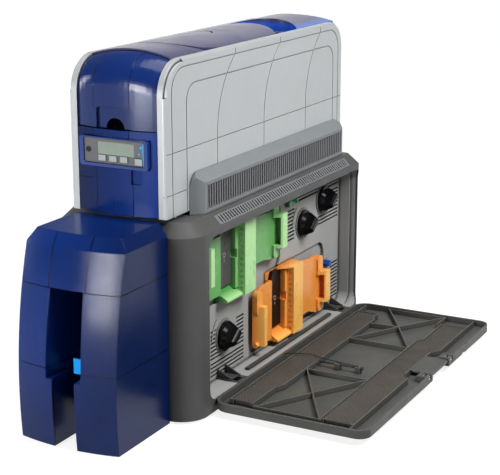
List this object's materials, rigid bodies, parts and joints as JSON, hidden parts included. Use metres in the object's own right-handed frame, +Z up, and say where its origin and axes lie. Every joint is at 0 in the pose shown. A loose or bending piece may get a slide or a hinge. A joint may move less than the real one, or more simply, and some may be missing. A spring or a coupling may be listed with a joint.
{
  "type": "id card printer with laminating module",
  "caption": "Desktop plastic-card printer over a laminator housing, with a front card hopper, a fold-down service door, pull-out film cartridges, turning knobs and a hinged ribbon lid.",
  "frame": {"origin": "centre of the floor rectangle under the whole machine with its service door folded down, at the underside of the feet", "axes": "+X towards the service door's side, +Y from the hopper at the front to the rear panel, +Z up"},
  "size_m": [0.486, 0.7475, 0.533],
  "materials": {
    "housing_grey": "fine texture",
    "collar_grey": "fine texture",
    "grille_grey": "fine texture",
    "foot_rubber": "matt",
    "pin_steel": "satin",
    "black_plastic": "satin",
    "frame_metal": "satin",
    "motor_metal": "satin",
    "door_grey": "fine texture",
    "green_plastic": "gloss",
    "orange_plastic": "gloss",
    "core_dark": "satin",
    "film_brown": "gloss",
    "knob_black": "gloss",
    "roller_rubber": "matt",
    "lever_blue": "gloss",
    "blue_clear": "deep translucent gloss",
    "shell_silver": "satin silver",
    "bezel_grey": "satin",
    "screen_glass": "gloss",
    "lamp_cyan": "gloss",
    "key_grey": "satin"
  },
  "bodies": {
    "base": {"base_housing": "housing_grey", "base_pan": "housing_grey", "rubber_feet": "foot_rubber", "service_panel": "housing_grey", "hinge_brackets": "housing_grey", "hinge_pins": "pin_steel", "right_collar": "collar_grey", "left_collar": "collar_grey", "right_grille": "grille_grey", "left_grille": "grille_grey", "right_vent_strip": "grille_grey", "left_vent_strip": "grille_grey", "rear_panel": "grille_grey", "power_inlet": "black_plastic", "fan_frame": "black_plastic", "mechanism_frame": "frame_metal", "laminating_head": "black_plastic", "drive_motor": "motor_metal", "hopper_cover": "blue_clear", "hopper_chute": "black_plastic", "engine_chassis": "frame_metal", "right_shell": "shell_silver", "left_shell": "shell_silver", "front_panel": "blue_clear", "display_frame": "blue_clear", "display_bezel": "bezel_grey", "lcd_screen": "screen_glass", "status_lamps": "lamp_cyan", "top_front_cover": "blue_clear", "top_rear_cover": "blue_clear", "engine_rear_panel": "shell_silver", "cover_pins": "pin_steel", "print_head": "black_plastic"},
    "exhaust_fan": {"fan_rotor": "black_plastic"},
    "service_door": {"service_door": "door_grey", "door_catches": "pin_steel", "cleaning_rod": "door_grey"},
    "green_cartridge": {"green_cartridge": "green_plastic", "green_core_plate": "core_dark", "green_film_rolls": "film_brown"},
    "orange_cartridge": {"orange_cartridge": "orange_plastic", "orange_core_plate": "core_dark", "orange_film_rolls": "film_brown"},
    "front_knob": {"front_knob": "knob_black", "front_roller": "roller_rubber"},
    "middle_knob": {"middle_knob": "knob_black", "middle_roller": "roller_rubber"},
    "rear_knob": {"rear_knob": "knob_black", "rear_roller": "roller_rubber"},
    "green_lever": {"green_lever": "green_plastic"},
    "blue_lever": {"blue_lever": "lever_blue"},
    "card_lifter": {"card_lifter": "lever_blue"},
    "front_door": {"front_door": "blue_clear"},
    "top_lid": {"top_lid": "blue_clear"},
    "platen": {"platen_roller": "foot_rubber"},
    "round_key": {"round_key": "key_grey"},
    "soft_key_1": {"soft_key_1": "key_grey"},
    "soft_key_2": {"soft_key_2": "key_grey"},
    "soft_key_3": {"soft_key_3": "key_grey"},
    "menu_key": {"menu_key": "key_grey"}
  },
  "joints": [
    {"name": "fan_spin", "type": "hinge", "parent": "base", "child": "exhaust_fan", "pos_m": [-0.171, 0.361, 0.185], "axis": [0, 1, 0], "continuous": true},
    {"name": "service_door_hinge", "type": "hinge", "parent": "base", "child": "service_door", "pos_m": [-0.009, 0.095, 0.017], "axis": [0, 1, 0], "range_deg": [-90, 0]},
    {"name": "green_cartridge_slide", "type": "slide", "parent": "base", "child": "green_cartridge", "axis": [1, 0, 0], "range_m": [0, 0.1]},
    {"name": "orange_cartridge_slide", "type": "slide", "parent": "base", "child": "orange_cartridge", "axis": [1, 0, 0], "range_m": [0, 0.1]},
    {"name": "front_knob_turn", "type": "hinge", "parent": "base", "child": "front_knob", "pos_m": [-0.043, -0.062, 0.085], "axis": [1, 0, 0], "continuous": true},
    {"name": "middle_knob_turn", "type": "hinge", "parent": "base", "child": "middle_knob", "pos_m": [-0.043, 0.213, 0.199], "axis": [1, 0, 0], "continuous": true},
    {"name": "rear_knob_turn", "type": "hinge", "parent": "base", "child": "rear_knob", "pos_m": [-0.043, 0.292, 0.224], "axis": [1, 0, 0], "continuous": true},
    {"name": "green_lever_turn", "type": "hinge", "parent": "base", "child": "green_lever", "pos_m": [-0.043, 0.153, 0.246], "axis": [1, 0, 0], "range_deg": [-30, 30]},
    {"name": "blue_lever_turn", "type": "hinge", "parent": "base", "child": "blue_lever", "pos_m": [-0.043, 0.31, 0.105], "axis": [1, 0, 0], "range_deg": [-30, 30]},
    {"name": "card_lifter_slide", "type": "slide", "parent": "base", "child": "card_lifter", "axis": [0, 0, 1], "range_m": [0, 0.1]},
    {"name": "front_door_hinge", "type": "hinge", "parent": "base", "child": "front_door", "pos_m": [-0.123, -0.191, 0.47], "axis": [-1, 0, 0], "range_deg": [0, 60]},
    {"name": "top_lid_hinge", "type": "hinge", "parent": "base", "child": "top_lid", "pos_m": [-0.123, 0.17, 0.517], "axis": [-1, 0, 0], "range_deg": [0, 65]},
    {"name": "platen_spin", "type": "hinge", "parent": "base", "child": "platen", "pos_m": [-0.123, -0.006, 0.44], "axis": [1, 0, 0], "continuous": true},
    {"name": "round_key_press", "type": "slide", "parent": "base", "child": "round_key", "axis": [0, 1, 0], "range_m": [0, 0.0008], "stiffness_N_per_m": 600},
    {"name": "soft_key_1_press", "type": "slide", "parent": "base", "child": "soft_key_1", "axis": [0, 1, 0], "range_m": [0, 0.0008], "stiffness_N_per_m": 600},
    {"name": "soft_key_2_press", "type": "slide", "parent": "base", "child": "soft_key_2", "axis": [0, 1, 0], "range_m": [0, 0.0008], "stiffness_N_per_m": 600},
    {"name": "soft_key_3_press", "type": "slide", "parent": "base", "child": "soft_key_3", "axis": [0, 1, 0], "range_m": [0, 0.0008], "stiffness_N_per_m": 600},
    {"name": "menu_key_press", "type": "slide", "parent": "base", "child": "menu_key", "axis": [0, 1, 0], "range_m": [0, 0.0008], "stiffness_N_per_m": 600}
  ]
}
